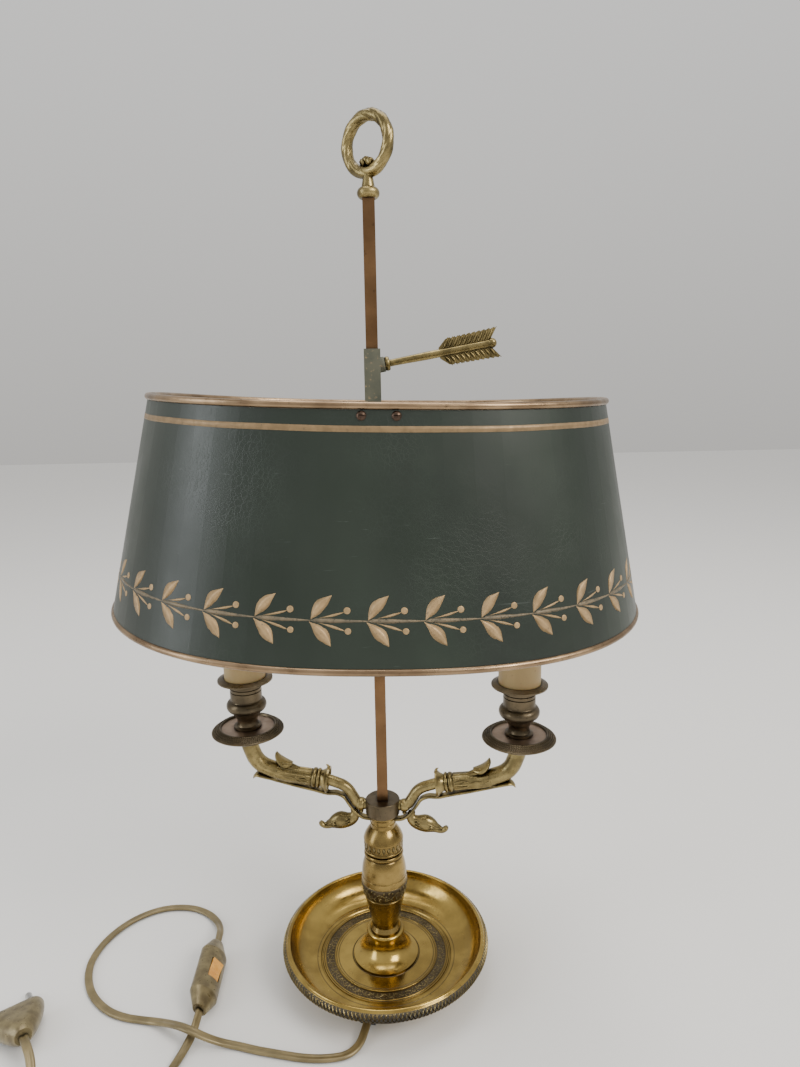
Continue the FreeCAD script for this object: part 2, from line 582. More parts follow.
def make_candle(side):
    """Pan, cup, candle, lampholder and bulb at the end of one arm."""
    place = arm_place(side)

    def at(height):
        return place * Placement(Vector(mm.arm_reach.value, 0, height.value), Rotation())

    rim = mm.pan_thickness + mm.pan_rim_rise
    hole = mm.nipple_radius
    keep("drip_pan_" + side, turned("drip_pan_" + side, [
        (hole, 0), (mm.pan_rim_inner - 1.0, 0), (mm.pan_radius - 1.0, -1.0), (mm.pan_radius, -0.3),
        (mm.pan_radius, 0.2), (mm.pan_rim_inner + 0.7, rim), (mm.pan_rim_inner, rim),
        (mm.pan_rim_inner - 0.5, mm.pan_thickness), (hole, mm.pan_thickness)], place=at(pan_seat)))
    inner = mm.cup_barrel_radius - mm.cup_wall
    waist = mm.cup_waist
    keep("candle_cup_" + side, turned("candle_cup_" + side, [
        (hole, 0), (mm.cup_foot_radius, 0), (mm.cup_foot_radius, 1.4), (mm.cup_neck_radius + 0.6, 1.9),
        ("by", mm.cup_neck_radius, 4.5), (mm.cup_neck_radius + 1.2, 7.6),
        (mm.cup_neck_radius + 2.4, 10.6), (mm.cup_neck_radius + 3.2, 10.8),
        ("by", mm.cup_bulge_radius, 13.9), (mm.cup_barrel_radius + 0.3, waist),
        (mm.cup_barrel_radius, waist + 0.6), (mm.cup_barrel_radius, 23.6),
        (mm.cup_barrel_radius - 0.4, 23.9),
        (mm.cup_barrel_radius, 24.2), (mm.cup_barrel_radius, 25.8), (mm.cup_barrel_radius - 0.4, 26.1),
        (mm.cup_barrel_radius, 26.4), (mm.cup_barrel_radius, 27.6),
        ("by", mm.cup_barrel_radius + 1.9, 29.6), (mm.cup_flange_radius, 30.6),
        (mm.cup_flange_radius, 31.4), (mm.candle_radius + 1.2, mm.cup_height),
        (mm.candle_radius + 0.3, mm.cup_height), (mm.candle_radius + 0.3, mm.cup_height - mm.cup_seat_depth),
        (inner, mm.cup_height - mm.cup_seat_depth), (inner, waist),
        (mm.holder_stem_radius + 0.3, waist - 3.0), (mm.holder_stem_radius + 0.3, mm.nipple_above),
        (hole, mm.nipple_above)], place=at(pan_top)))
    candle_bore = mm.candle_radius - mm.candle_wall
    keep("candle_sleeve_" + side, turned("candle_sleeve_" + side, [
        (candle_bore, 0), (mm.candle_radius, 0), (mm.candle_radius, mm.candle_length - 0.5),
        (mm.candle_radius - 0.4, mm.candle_length), (candle_bore, mm.candle_length)], place=at(candle_seat)))

    stem_low = pan_top + mm.nipple_above
    holder_top = candle_top - mm.holder_top_gap - stem_low
    body_low = holder_top - mm.holder_body_length
    socket_low = holder_top - mm.holder_socket_depth
    keep("lampholder_" + side, turned("lampholder_" + side, [
        (mm.wire_bore, 0), (mm.holder_stem_radius, 0), (mm.holder_stem_radius, body_low),
        (mm.holder_radius - 1.0, body_low), (mm.holder_radius, body_low + 1.0),
        (mm.holder_radius, holder_top),
        (mm.holder_socket_radius, holder_top), (mm.holder_socket_radius, socket_low),
        (mm.wire_bore, socket_low)], place=at(stem_low)))
    cap = mm.bulb_cap_length
    glass = mm.bulb_length + cap
    keep("bulb_" + side, turned("bulb_" + side, [
        (0, 0), (3.0, 0), (mm.bulb_cap_radius - 1.4, 2.0), (mm.bulb_cap_radius, 3.0),
        (mm.bulb_cap_radius, cap), ("by", mm.bulb_radius - 1.2, cap + 13.0), (mm.bulb_radius, cap + 27.0),
        ("by", mm.bulb_radius - 1.2, cap + 45.0), (4.6, glass - 8.0),
        ("by", 3.0, glass - 2.0), (0.6, glass), (0, glass)], place=at(candle_top - cap + 1.5)))


def make_arm_inside():
    """The nipples that hold the cups, and the wires from the base to the lampholders."""
    points, radii = arm_route()
    nipples = []
    wires = []
    low = (floor_under - mm.washer_thickness - mm.nut_thickness - mm.wire_radius * 1.2).value
    block_end = mm.block_reach.value - mm.block_height.value
    exit_turn = Rotation(UP, mm.cord_exit_turn.value)
    for side, offset in (("right", mm.wire_radius.value * 1.5), ("left", -mm.wire_radius.value * 1.5)):
        place = arm_place(side)
        high = pan_seat + mm.pan_thickness + mm.nipple_above
        nipple = Part.makeCylinder(mm.nipple_radius.value, mm.nipple_below.value + (high - pan_seat).value,
                                   Vector(mm.arm_reach.value, 0, (pan_seat - mm.nipple_below).value))
        hole = Part.makeCylinder(mm.wire_bore.value, 40, Vector(mm.arm_reach.value, 0, pan_seat.value - 20))
        piece = nipple.cut(hole)
        piece.Placement = place
        nipples.append(piece)
        out = place.multVec(Vector(mm.wire_radius.value * 1.5, 0, 0))
        start = exit_turn.multVec(Vector(block_end, offset, 0)) + UP * low
        under = Vector(out.x, out.y, low)
        bench = Vector(out.x, out.y, arm_level.value)
        rest = [place.multVec(point) for point in points[1:-1]]
        end = place.multVec(Vector(mm.arm_reach.value, 0, (high + 6.0).value))
        route = [start, under, bench] + rest + [end]
        wires.append(tube(route, [2.0, 3.0] + radii, mm.wire_radius.value))
    keep("arm_nipples", shaped("arm_nipples", group(nipples)))
    keep("lamp_wires", shaped("lamp_wires", group(wires)))


def make_rod():
    half = mm.rod_width / 2
    square = primitive("Box", "rod_square", {
        "Length": mm.rod_width, "Width": mm.rod_width, "Height": mm.rod_top - hub_top},
        x=-half, y=-half, z=hub_top)
    spigot = primitive("Cylinder", "rod_spigot", {
        "Radius": mm.rod_spigot_radius, "Height": mm.hub_roof + half}, z=hub_top - mm.hub_roof)
    whole = joined_up("rod_with_spigot", square, spigot)
    hole = primitive("Cylinder", "rod_top_hole", {
        "Radius": mm.stud_radius, "Height": mm.stud_length * 2}, z=mm.rod_top - mm.stud_length)
    keep("centre_rod", cut("centre_rod", whole, hole))


def make_finial():
    collar = mm.finial_collar_height
    neck_top = collar + mm.finial_neck_height
    ring_centre = (mm.rod_top + neck_top + mm.finial_tube_radius + mm.finial_ring_radius - 1.6).value
    turn = Rotation(UP, mm.finial_turn.value)
    upright = Rotation(Vector(1, 0, 0), 90)
    ring_place = Placement(Vector(0, 0, ring_centre), turn * upright)
    post = turned("finial_post", [
        (0, 0.2 - mm.stud_length), (mm.stud_radius, 0.2 - mm.stud_length), (mm.stud_radius, 0),
        (mm.finial_collar_radius - 1.6, 0), ("by", mm.finial_collar_radius, collar / 2),
        (mm.finial_collar_radius - 1.6, collar), (mm.finial_neck_radius, collar),
        (mm.finial_neck_top, neck_top), (0, neck_top)], mm.rod_top)
    ring_tool = primitive("Torus", "finial_ring_seat", {
        "Radius1": mm.finial_ring_radius, "Radius2": mm.finial_tube_radius}, ring_place)
    keep("finial_collar", cut("finial_collar", post, ring_tool))
    ring = primitive("Torus", "finial_ring_band", {
        "Radius1": mm.finial_ring_radius, "Radius2": mm.finial_tube_radius}, ring_place)
    bumps = []
    knot_height = ring_centre - mm.finial_ring_radius.value + mm.finial_tube_radius.value + 1.4
    for index in range(3):
        spread = turn.multVec(Vector((index - 1) * mm.finial_knot_radius.value * 0.8, 0, 0))
        lift = Vector(0, 0, knot_height + (0.9 if index == 1 else 0.0))
        bumps.append(primitive("Sphere", "finial_knot_%d" % index, {"Radius": mm.finial_knot_radius},
                               Placement(spread + lift, Rotation())))
    keep("finial_ring", joined_up("finial_ring", ring, *bumps))


def arrow_place():
    """Along the arrow screw, from the middle of the rod outwards and a little up."""
    lean = Rotation(Vector(0, 1, 0), 90 - mm.arrow_tilt.value)
    return Placement(Vector(0, 0, mm.arrow_height.value), lean)


def make_sleeve():
    half = mm.sleeve_width / 2
    low = mm.sleeve_top - mm.sleeve_length
    bore = mm.rod_width + mm.sleeve_gap * 2
    outside = primitive("Box", "sleeve_outside", {
        "Length": mm.sleeve_width, "Width": mm.sleeve_width, "Height": mm.sleeve_length},
        x=-half, y=-half, z=low)
    boss = primitive("Cylinder", "sleeve_boss", {
        "Radius": mm.arrow_boss_radius, "Height": mm.arrow_boss_end}, arrow_place())
    whole = joined_up("sleeve_with_boss", outside, boss)
    inside = primitive("Box", "sleeve_inside", {
        "Length": bore, "Width": bore, "Height": mm.sleeve_length * 2},
        x=-bore / 2, y=-bore / 2, z=low - mm.sleeve_length / 2)
    thread = primitive("Cylinder", "sleeve_thread_hole", {
        "Radius": mm.arrow_thread_radius + mm.pin_gap, "Height": mm.arrow_boss_end * 2}, arrow_place())
    keep("shade_sleeve", cut("shade_sleeve", whole, inside, thread))


def vane(sign):
    """One side of the arrow's flight: a leaf with a notched end and barbs cut in its edge."""
    start = mm.arrow_vane_start.value
    end = mm.arrow_length.value + 1.5
    span = mm.arrow_vane_span.value
    shaft = mm.arrow_shaft_radius.value * 0.5
    depth = mm.arrow_barb_depth.value
    barbs = 10
    points = [(shaft, start), (span * 0.35, start), (span * 0.82, start + 4.5)]
    pitch = (end - start - 6.0) / barbs
    for index in range(barbs):
        reach = span * (0.88 + 0.12 * index / barbs)
        at = start + 5.5 + pitch * index
        points += [(reach, at + pitch * 0.6), (reach - depth, at + pitch * 0.72)]
    points += [(span, end), (shaft + 0.6, end - 5.0), (shaft, end - 5.0)]
    half = mm.arrow_vane_thickness.value / 2
    corners = [Vector(sign * across, -half, along) for across, along in points]
    face = Part.Face(Part.makePolygon(corners + [corners[0]]))
    return face.extrude(Vector(0, 2 * half, 0))


def make_arrow_screw():
    tip = (mm.rod_width / 2 + mm.arrow_tip_gap).value / math.cos(math.radians(mm.arrow_tilt.value)) + 0.3
    tip += mm.arrow_thread_radius.value * math.tan(math.radians(mm.arrow_tilt.value))
    gap = mm.arrow_seat_gap
    collar_start = mm.arrow_boss_end + gap
    collar_end = collar_start + mm.arrow_collar_length
    thread = mm.arrow_thread_radius
    shaft = mm.arrow_shaft_radius
    stem = turned("arrow_stem", [
        (0, tip), (thread - 0.5, tip), (thread, tip + 0.5), (thread, collar_start),
        (mm.arrow_collar_radius - 0.5, collar_start),
        ("by", mm.arrow_collar_radius, collar_start + mm.arrow_collar_length / 2),
        (mm.arrow_collar_radius - 0.5, collar_end), (shaft - 0.3, collar_end), (shaft - 0.3, collar_end + 4),
        (shaft, collar_end + 20), (shaft, mm.arrow_length - mm.arrow_ball_radius * 1.6),
        ("by", mm.arrow_ball_radius, mm.arrow_length - mm.arrow_ball_radius * 0.8),
        (mm.arrow_ball_radius * 0.2, mm.arrow_length), (0, mm.arrow_length)],
        place=Placement())
    flights = [shaped("arrow_vane_%d" % index, vane(sign)) for index, sign in enumerate((1, -1))]
    whole = joined_up("arrow_screw", stem, *flights)
    whole.Placement = arrow_place()
    keep("arrow_screw", whole)


def biarc(start, start_way, end, end_way):
    """Two arcs from start to end that leave and arrive in the given directions."""
    chord = end - start
    both = start_way + end_way
    spread = 2 * (1 - start_way.dot(end_way))
    reach = chord.dot(both)
    if spread < 1e-9:
        size = chord.dot(chord) / (4 * chord.dot(end_way))
    else:
        size = (-reach + math.sqrt(reach * reach + spread * chord.dot(chord))) / spread
    meet = (start + end + (start_way - end_way) * size) * 0.5
    return [tangent_arc(start, start_way, meet), tangent_arc(end, end_way * -1, meet, True)]


def tangent_arc(start, way, end, back=False):
    chord = end - start
    along = Vector(chord).normalize()
    bulge = way - along * way.dot(along)
    middle = start + chord * 0.5
    if bulge.Length > 1e-9:
        middle += bulge.normalize() * (chord.Length / 2 * math.tan(way.getAngle(chord) / 2))
    points = (end, middle, start) if back else (start, middle, end)
    if bulge.Length <= 1e-9:
        return Part.LineSegment(points[0], points[2]).toShape()
    return Part.Arc(*points).toShape()


def rim_point(half_width, half_depth, height, dip, turn):
    power = 2.0 / mm.shade_power.value
    across = math.copysign(abs(math.cos(turn)) ** power, math.cos(turn))
    deep = math.copysign(abs(math.sin(turn)) ** power, math.sin(turn))
    return Vector(half_width * across, half_depth * deep, height - dip * deep * deep)


RIM_STEPS = (0, 9, 21, 34, 46, 58, 70, 81)


def rim_route(inset, half_width, height, dip):
    """One rim of the shade as a closed chain of arcs: an oval that dips at front and back."""
    wide = half_width.value - inset
    deep = (half_width * mm.shade_depth_share).value - inset
    turns = [math.radians(90 * quarter + step) for quarter in range(4) for step in RIM_STEPS]
    small = 1e-4
    ways = []
    points = []
    for turn in turns:
        points.append(rim_point(wide, deep, height, dip.value, turn))
        ahead = rim_point(wide, deep, height, dip.value, turn + small)
        behind = rim_point(wide, deep, height, dip.value, turn - small)
        ways.append((ahead - behind).normalize())
    edges = []
    for index in range(len(points)):
        after = (index + 1) % len(points)
        edges += biarc(points[index], ways[index], points[after], ways[after])
    return edges


def lean_place():
    """The shade hangs a little to one side and leans, about the height of its screws."""
    pivot = Vector(0, 0, mm.shade_screw_height.value)
    lean = Rotation(Vector(0, 1, 0), mm.shade_lean.value)
    aside = Vector(mm.shade_shift.value, 0, 0)
    return Placement(aside + pivot - lean.multVec(pivot), lean)


def shade_shell(inset_outer, inset_inner, low, high):
    """A thin wall between two rims, as one closed solid."""
    rims = {}
    for name, inset in (("outer", inset_outer), ("inner", inset_inner)):
        rims[name, "low"] = rim_route(inset, mm.shade_bottom_half_width, low, mm.shade_bottom_dip)
        rims[name, "high"] = rim_route(inset, mm.shade_top_half_width, high, mm.shade_top_dip)
    pairs = [("outer", "low", "outer", "high"), ("inner", "low", "inner", "high"),
             ("outer", "low", "inner", "low"), ("outer", "high", "inner", "high")]
    faces = []
    for first, first_level, second, second_level in pairs:
        for one, other in zip(rims[first, first_level], rims[second, second_level]):
            faces.append(Part.makeRuledSurface(one, other))
    sewn = Part.Compound(faces)
    sewn.sewShape()
    solid = Part.Solid(Part.Shell(sewn.Faces))
    solid.fix(1e-6, 1e-6, 1e-4)
    if solid.Volume < 0:
        solid.reverse()
    return solid


def shade_side_at(height):
    """Half the depth of the skin's outside at the front, at a height."""
    wall = mm.shade_wall.value / 2
    clear = (mm.bead_radius + mm.bead_gap).value
    low = mm.shade_bottom.value - mm.shade_bottom_dip.value + clear
    high = mm.shade_top.value - mm.shade_top_dip.value - clear
    share = (height - low) / (high - low)
    half_width = mm.shade_bottom_half_width + (mm.shade_top_half_width - mm.shade_bottom_half_width) * share
    return (half_width * mm.shade_depth_share).value + wall


def shade_screw_lines():
    """Where each shade screw crosses the skin's outside, and which way it points."""
    level = mm.shade_screw_height.value
    rise = 1.0
    slope = Vector(0, shade_side_at(level + rise) - shade_side_at(level), rise).normalize()
    lines = []
    for sign in (1, -1):
        outward = Vector(0, sign * slope.z, -slope.y)
        for across in (-1, 1):
            along = across * mm.shade_screw_spacing.value / 2 + mm.shade_screw_shift.value
            lines.append((Vector(along, sign * shade_side_at(level), level), outward))
    return lines


def make_shade():
    wall = mm.shade_wall.value / 2
    clear = (mm.bead_radius + mm.bead_gap).value
    skin = shade_shell(-wall, wall, mm.shade_bottom.value + clear, mm.shade_top.value - clear)
    holes = []
    for centre, outward in shade_screw_lines():
        holes.append(Part.makeCylinder(mm.shade_screw_radius.value + mm.shade_contact_gap.value, 20,
                                       centre - outward * 10, outward))
    keep("shade_skin", shaped("shade_skin", skin.cut(group(holes)), lean_place()))
    beads = {"shade_top_bead": (mm.shade_top_half_width, mm.shade_top, mm.shade_top_dip),
             "shade_bottom_bead": (mm.shade_bottom_half_width, mm.shade_bottom, mm.shade_bottom_dip)}
    for name, (half_width, height, dip) in beads.items():
        edges = rim_route(0, half_width, height.value, dip)
        start = edges[0].Curve.value(edges[0].FirstParameter)
        along = edges[0].tangentAt(edges[0].FirstParameter)
        bead = swept(edges, round_section(start, along, mm.bead_radius.value))
        keep(name, shaped(name, bead, lean_place()))


def make_bracket():
    half = mm.bracket_width.value / 2
    thick = mm.bracket_thickness.value
    screw_level = mm.shade_screw_height.value
    bar_top = screw_level - mm.bracket_below_screws.value
    tab_top = screw_level + mm.shade_screw_head_radius.value
    wall = mm.shade_wall.value
    gap = mm.shade_contact_gap.value
    tab_low = shade_side_at(bar_top) - wall - gap
    tab_high = shade_side_at(tab_top) - wall - gap
    bar_side = tab_low - mm.bracket_bend.value
    outline = [(bar_side - 2 * thick, bar_top - thick), (bar_side, bar_top - thick), (tab_low, bar_top),
               (tab_high, tab_top), (tab_high - thick, tab_top), (tab_low - thick, bar_top),
               (bar_side - 2 * thick, bar_top)]
    bar = Part.makeBox(2 * half, 2 * bar_side - 3 * thick, thick,
                       Vector(-half, 1.5 * thick - bar_side, bar_top - thick))
    tabs = []
    for sign in (1, -1):
        corners = [Vector(-half, sign * deep, level) for deep, level in outline]
        face = Part.Face(Part.makePolygon(corners + [corners[0]]))
        tabs.append(face.extrude(Vector(2 * half, 0, 0)))
    screws = []
    nuts = []
    head_radius = mm.shade_screw_head_radius.value
    head = mm.shade_screw_head.value
    nut_high = mm.shade_nut_thickness.value
    behind = wall + gap + thick + nut_high
    for centre, outward in shade_screw_lines():
        past_nut = 0.5
        shank = Part.makeCylinder(mm.shade_screw_radius.value, behind + past_nut + gap + 0.1,
                                  centre - outward * (behind + past_nut), outward)
        disc = Part.makeCylinder(head_radius, head, centre + outward * gap, outward)
        dome_radius = head_radius * 1.25
        dome = Part.makeSphere(dome_radius, centre + outward * (gap + head - dome_radius))
        slot_wide = mm.shade_screw_slot.value
        slot = Part.makeBox(4 * head_radius, slot_wide, head)
        slot.translate(Vector(-2 * head_radius, -slot_wide / 2, 0))
        slot_floor = centre + outward * (gap + head * 0.64)
        slot.Placement = Placement(slot_floor, Rotation(UP, outward)) * slot.Placement
        screws.append(shank.fuse(disc.common(dome)).cut(slot))
        corner_radius = mm.shade_nut_width.value / math.sqrt(3)
        hexagon = Part.makePolygon([
            Vector(corner_radius * math.cos(math.radians(60 * corner)),
                   corner_radius * math.sin(math.radians(60 * corner)), 0) for corner in range(7)])
        nut = Part.Face(hexagon).extrude(UP * nut_high)
        nut.Placement = Placement(centre - outward * behind, Rotation(UP, outward))
        nuts.append(nut)
    shanks = group(screws)
    sleeve_half = mm.sleeve_width.value / 2
    hole = Part.makeBox(2 * sleeve_half, 2 * sleeve_half, 40,
                        Vector(-sleeve_half, -sleeve_half, bar_top - 20))
    hole.Placement = lean_place().inverse()
    bracket = bar.fuse(tabs).removeSplitter().cut(shanks).cut(hole)
    keep("shade_bracket", shaped("shade_bracket", bracket, lean_place()))
    keep("shade_screws", shaped("shade_screws", shanks, lean_place()))
    keep("shade_nuts", shaped("shade_nuts", group([nut.cut(shanks) for nut in nuts]), lean_place()))


SWITCH_MIDDLE = Vector(-110.5, -11.6, 8.35)
SWITCH_TURN = -89.4
PLUG_CORD_END = Vector(-203.2, -55.3, 13.0)
PLUG_TURN = 125.0
PLUG_PITCH = -14.0


def switch_place():
    """The switch lies rolled on its side on the table; its length is along its own X."""
    roll = Rotation(Vector(1, 0, 0), mm.switch_roll.value)
    return Placement(SWITCH_MIDDLE, Rotation(UP, SWITCH_TURN) * roll)


def plug_place():
    return Placement(PLUG_CORD_END, Rotation(UP, PLUG_TURN) * Rotation(Vector(0, 1, 0), -PLUG_PITCH))


def switch_body(inset):
    """The smooth outside of the switch, or the same form inset by a wall."""
    stations = [(-mm.switch_length / 2, mm.switch_end_width, mm.switch_end_thickness),
                (-mm.switch_shoulder, mm.switch_width, mm.switch_thickness),
                (mm.switch_shoulder, mm.switch_width, mm.switch_thickness),
                (mm.switch_length / 2, mm.switch_end_width, mm.switch_end_thickness)]
    wires = []
    for along, wide, thick in stations:
        centre = Vector(along.value, 0, 0)
        wires.append(oval_section(centre, Vector(0, wide.value / 2 - inset, 0),
                                  Vector(0, 0, thick.value / 2 - inset)))
    return Part.makeLoft(wires, True, True)


def make_switch():
    place = switch_place()
    reach = mm.switch_length.value
    outside = switch_body(0)
    hollow = Part.makeBox(2 * mm.switch_shoulder.value - 4, mm.switch_width.value - 5.5,
                          mm.switch_thickness.value - 2 * mm.switch_wall.value - 2.0,
                          Vector(2 - mm.switch_shoulder.value, (5.5 - mm.switch_width.value) / 2,
                                 mm.switch_wall.value + 1.0 - mm.switch_thickness.value / 2))
    slip = mm.cord_slip.value
    way = Part.Face(flat_section(Vector(-reach, 0, 0), Vector(1, 0, 0), mm.cord_width.value + 2 * slip,
                                 mm.cord_thickness.value + 2 * slip)).extrude(Vector(2 * reach, 0, 0))
    gap = mm.rocker_gap.value
    window_half = math.hypot(mm.rocker_length.value / 2, mm.rocker_horn.value) + gap
    window = Part.makeBox(2 * window_half, mm.rocker_width.value + 2 * gap, 20,
                          Vector(-window_half, -mm.rocker_width.value / 2 - gap, 0))
    pin_radius = mm.rocker_pin_radius.value
    pin_level = mm.switch_thickness.value / 2 - mm.rocker_drop.value
    pin_half = mm.rocker_width.value / 2 + gap + 1.3
    pin = Part.makeCylinder(pin_radius, 2 * pin_half, Vector(0, -pin_half, pin_level), Vector(0, 1, 0))
    upper = Part.makeBox(2 * reach, 2 * reach, reach, Vector(-reach, -reach, 0))
    lower = Part.makeBox(2 * reach, 2 * reach, reach, Vector(-reach, -reach, -reach))
    top = outside.common(upper).cut(hollow).cut(way).cut(window).cut(pin)
    bottom = outside.common(lower).cut(hollow).cut(way)
    keep("switch_top", shaped("switch_top", top, place))
    keep("switch_bottom", shaped("switch_bottom", bottom, place))
    keep("switch_pin", shaped("switch_pin", pin, place))

    half = mm.rocker_length.value / 2
    low = pin_radius + mm.rocker_web.value
    profile = [Vector(-half, 0, -low), Vector(half, 0, -low), Vector(half, 0, mm.rocker_horn.value),
               Vector(0, 0, low), Vector(-half, 0, mm.rocker_horn.value)]
    rocker = Part.Face(Part.makePolygon(profile + [profile[0]])).extrude(
        Vector(0, mm.rocker_width.value, 0))
    rocker.translate(Vector(0, -mm.rocker_width.value / 2, 0))
    pin_hole = Part.makeCylinder(pin_radius + mm.pin_gap.value, 30, Vector(0, -15, 0), Vector(0, 1, 0))
    tilted = Placement(Vector(0, 0, pin_level), Rotation(Vector(0, 1, 0), mm.rocker_tilt.value))
    keep("switch_rocker", shaped("switch_rocker", rocker.cut(pin_hole), place * tilted))

    strips = []
    strip_long = 9.0
    strip_wide = 3.0
    strip_level = mm.switch_wall.value + 1.0 - mm.switch_thickness.value / 2
    for sign in (-1, 1):
        corner = Vector(4 * sign - strip_long / 2, 2.6 * sign - strip_wide / 2, strip_level)
        strips.append(Part.makeBox(strip_long, strip_wide, 0.8, corner))
    keep("switch_contacts", shaped("switch_contacts", group(strips), place))


def plug_loft():
    """The outside of the plug, which widens from the cord to the face with the pins."""
    stations = [(0.0, mm.plug_neck_width.value * 0.62, mm.plug_thickness.value * 0.62),
                (3.0, mm.plug_neck_width.value, mm.plug_thickness.value * 0.85),
                (12.0, mm.plug_neck_width.value * 1.7, mm.plug_thickness.value),
                (22.0, mm.plug_width.value * 0.94, mm.plug_thickness.value),
                (mm.plug_length.value, mm.plug_width.value, mm.plug_thickness.value * 0.94)]
    wires = []
    for along, wide, thick in stations:
        section = flat_section(Vector(along, 0, 0), Vector(1, 0, 0), max(wide, thick + 0.5), thick)
        wires.append(section)
    return Part.makeLoft(wires, True, False)


def make_plug():
    place = plug_place()
    body = plug_loft()
    pins = []
    sleeves = []
    for sign in (-1, 1):
        start = Vector(mm.plug_length.value, sign * mm.plug_pin_spacing.value / 2, 0)
        radius = mm.plug_pin_radius.value
        depth = 8.0
        ahead = Vector(1, 0, 0)
        straight = mm.plug_pin_length.value - radius
        pin = Part.makeCylinder(radius, straight + depth, start - ahead * depth, ahead)
        tip = Part.makeSphere(radius, start + ahead * straight)
        neck = Part.makeCylinder(radius, mm.plug_sleeve_length.value, start, ahead)
        core_radius = radius - mm.plug_sleeve_wall.value
        core = Part.makeCylinder(core_radius, mm.plug_sleeve_length.value, start, ahead)
        collar = neck.cut(core)
        pins.append(pin.fuse(tip).cut(collar))
        sleeves.append(collar)
        body = body.cut(Part.makeCylinder(radius, depth, start - ahead * depth, ahead))
    keep("plug_body", shaped("plug_body", body, place))
    keep("plug_pins", shaped("plug_pins", group(pins), place))
    keep("plug_pin_sleeves", shaped("plug_pin_sleeves", group(sleeves), place))


def flat_tube(name, points, start_roll=0.0):
    """A flat cord along its route, on a check of its volume against section times length."""
    radii = loose_radii(points)
    edges = rounded_route(points, radii)
    width = mm.cord_width.value
    thick = mm.cord_thickness.value
    section = flat_section(points[0], points[1] - points[0], width, thick, start_roll)
    solid = swept(edges, section)
    line = sum(edge.Length for edge in edges)
    area = Part.Face(section).Area
    print("%s: %.0f mm long, tightest arc %.1f mm, volume %.4f of section times length" % (
        name, line, min(radii), solid.Volume / (area * line)))
    return solid, line


TABLE = 1.6
LEAD_POINTS = [
    (-13.1, -52.4, 4.2), (-15.8, -59.6, 2.4), (-21.6, -65.4, TABLE), (-31.2, -67.4, TABLE),
    (-45.4, -66.8, TABLE), (-60.0, -63.4, TABLE), (-74.6, -59.8, TABLE), (-84.4, -56.6, TABLE),
    (-92.6, -55.4, 2.6), (-101.2, -56.0, 7.0), (-109.4, -55.2, 11.0), (-118.0, -50.8, 10.8),
    (-126.2, -44.6, 6.8),
    (-135.0, -38.8, 2.8), (-144.6, -36.0, TABLE), (-155.4, -33.8, TABLE), (-168.4, -28.0, TABLE),
    (-182.0, -15.4, TABLE), (-190.4, 1.0, TABLE), (-192.4, 17.0, TABLE), (-187.6, 34.8, TABLE),
    (-176.6, 50.4, TABLE), (-159.6, 60.2, TABLE), (-140.0, 60.4, TABLE), (-125.4, 53.4, 1.6),
    (-116.4, 42.6, 2.8), (-112.0, 31.4, 5.6), (-110.9, 21.8, 8.1)]
TAIL_POINTS = [
    (-110.2, -43.8, 7.8), (-111.6, -51.6, 4.6), (-115.2, -60.6, 1.9), (-119.2, -71.0, TABLE),
    (-122.2, -82.6, TABLE), (-123.7, -94.6, TABLE), (-124.0, -107.0, TABLE)]
END_POINTS = [
    (-192.4, -109.6, 10.6), (-189.4, -98.8, 6.4), (-187.6, -88.2, 5.6), (-188.8, -78.4, 9.0),
    (-192.6, -69.8, 12.8), (-198.2, -62.4, 15.2)]
COIL_MIDDLE = Vector(-158.0, -119.0, TABLE)


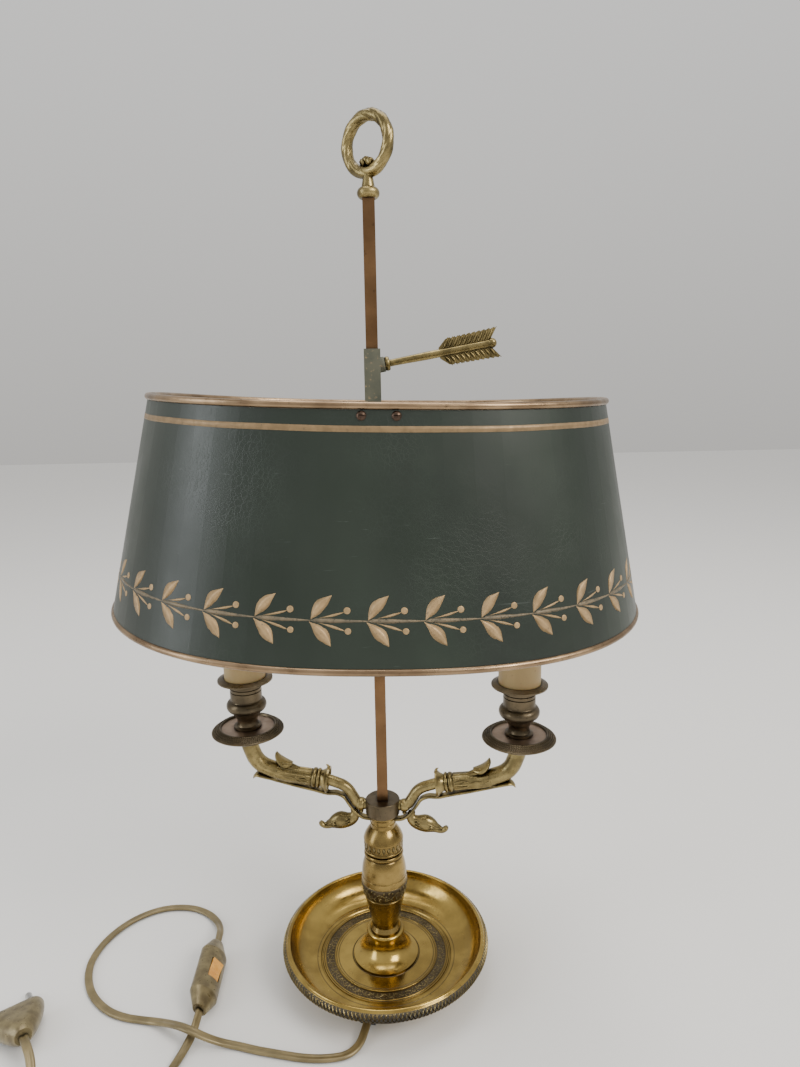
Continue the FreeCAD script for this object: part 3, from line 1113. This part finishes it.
def make_cord():
    turn = Rotation(UP, mm.cord_exit_turn.value)
    level = mm.cord_exit_height.value
    outside = mm.foot_ring_radius.value + 4.0
    inside = mm.block_reach.value
    ahead = turn.multVec(Vector(1, 0, 0))
    start = ahead * outside + UP * level
    stub = Part.Face(flat_section(ahead * inside + UP * level, ahead, mm.cord_width.value,
                                  mm.cord_thickness.value)).extrude(ahead * (outside - inside))
    keep("cord_inner", shaped("cord_inner", stub))

    slip = mm.cord_slip.value
    turned_place = Placement(Vector(0, 0, 0), turn)
    foot_inner = (mm.foot_ring_radius - mm.foot_ring_wall).value
    width = mm.grommet_width.value
    height = mm.grommet_height.value
    bush = Part.makeBox(outside - foot_inner - 1.0, width, height,
                        Vector(foot_inner, -width / 2, level - height / 2))
    lip = Part.makeBox(mm.grommet_flange.value, width, height,
                       Vector(foot_inner - mm.grommet_flange.value, -width / 2, level - height / 2))
    way = Part.Face(flat_section(Vector(0, 0, level), Vector(1, 0, 0), mm.cord_width.value + 2 * slip,
                                 mm.cord_thickness.value + 2 * slip)).extrude(Vector(90, 0, 0))
    keep("cord_grommet", shaped("cord_grommet", bush.fuse(lip).cut(way), turned_place))

    block_high = mm.block_height.value
    block_low = level - block_high / 2
    block = Part.makeBox(block_high, mm.block_width.value, block_high,
                         Vector(inside - block_high, -mm.block_width.value / 2, block_low))
    keep("terminal_block", shaped("terminal_block", block, turned_place))

    switch = switch_place()
    half = mm.switch_length.value / 2
    far_end = switch.multVec(Vector(-half, 0, 0))
    near_end = switch.multVec(Vector(half, 0, 0))
    lead_points = [start] + [Vector(*point) for point in LEAD_POINTS] + [far_end]
    lead, lead_length = flat_tube("cord_lead", lead_points)
    switch_solid = switch_body(0)
    switch_solid.Placement = switch
    keep("cord_lead", shaped("cord_lead", lead.cut(switch_solid).cut(stub)))

    coil_edges, coil_start, coil_end, coil_length, least = coil_route()
    coil_way = edges_way(coil_edges[0])
    coil_section = flat_section(coil_start, coil_way, mm.cord_width.value, mm.cord_thickness.value)
    coil = swept(coil_edges, coil_section)
    print("cord_coil: %.0f mm long, least gap to itself %.2f mm" % (coil_length, least))
    keep("cord_coil", shaped("cord_coil", coil))

    tail_points = [near_end] + [Vector(*point) for point in TAIL_POINTS] + [coil_start]
    tail, tail_length = flat_tube("cord_tail", tail_points)
    keep("cord_tail", shaped("cord_tail", tail.cut(switch_solid).cut(coil)))
    end_points = [coil_end] + [Vector(*point) for point in END_POINTS] + [PLUG_CORD_END]
    end, end_length = flat_tube("cord_end", end_points)
    plug = plug_loft()
    plug.Placement = plug_place()
    keep("cord_end", shaped("cord_end", end.cut(plug).cut(coil)))
    print("cord: %.0f mm in all" % (lead_length + tail_length + coil_length + end_length))


def edges_way(edge):
    return edge.tangentAt(edge.FirstParameter)


def coil_point(turns):
    """A point of the coil: turns spiral in and out, and climb a layer at each reversal."""
    layers = int(mm.coil_layers.value)
    leg = mm.coil_turns.value / layers
    done = min(int(turns / leg), layers - 1)
    part = turns / leg - done
    inward = part if done % 2 == 0 else 1 - part
    radius = mm.coil_outer.value - mm.coil_pitch.value * leg * inward
    climb = 0.0
    for layer in range(1, layers):
        share = (turns - layer * leg) / 0.5 + 0.5
        climb += min(max(share, 0.0), 1.0)
    angle = -2 * math.pi * turns
    around = Vector(radius * math.cos(angle), radius * math.sin(angle), climb * mm.coil_rise.value)
    return COIL_MIDDLE + around


def coil_route():
    turns = mm.coil_turns.value
    steps = int(round(turns * 8))
    small = 1e-3
    points = []
    ways = []
    for step in range(steps + 1):
        at = turns * step / steps
        points.append(coil_point(at))
        ways.append((coil_point(min(at + small, turns)) - coil_point(max(at - small, 0))).normalize())
    edges = []
    for index in range(steps):
        edges += biarc(points[index], ways[index], points[index + 1], ways[index + 1])
    fine = 40
    half = (mm.cord_width.value - mm.cord_thickness.value) / 2
    lines = [coil_point(turns * step / (steps * fine / 8)) for step in range(int(steps * fine / 8) + 1)]
    least = 1e9
    for index, one in enumerate(lines):
        for other in lines[index + fine // 3:]:
            away = (one - other)
            level = math.hypot(away.x, away.y)
            if level < mm.cord_width.value * 2 and abs(away.z) < mm.coil_rise.value * 1.5:
                beside = max(level - 2 * half, 0.0)
                least = min(least, math.hypot(beside, away.z) - mm.cord_thickness.value)
    return edges, points[0], points[-1], sum(edge.Length for edge in edges), least


make_base()
make_tie_rod()
make_stem()
for arm_side in SIDES:
    make_arm(arm_side)
    make_candle(arm_side)
make_arm_inside()
make_rod()
make_finial()
make_sleeve()
make_arrow_screw()
make_shade()
make_bracket()
make_switch()
make_plug()
make_cord()

doc.recompute()
for item in doc.Objects:
    if "Invalid" in item.State or "Error" in item.State:
        raise RuntimeError("%s did not build" % item.Label)
for name, piece in nodes.items():
    if piece.Shape.isNull() or not piece.Shape.isValid():
        raise RuntimeError("%s has no sound shape" % name)
os.makedirs("parts", exist_ok=True)
for name, piece in nodes.items():
    piece.Shape.exportStep("parts/%s.step" % name)
    print("%s: %d solid(s), %.1f mm3" % (name, len(piece.Shape.Solids), piece.Shape.Volume))
print("%d pieces written" % len(nodes))
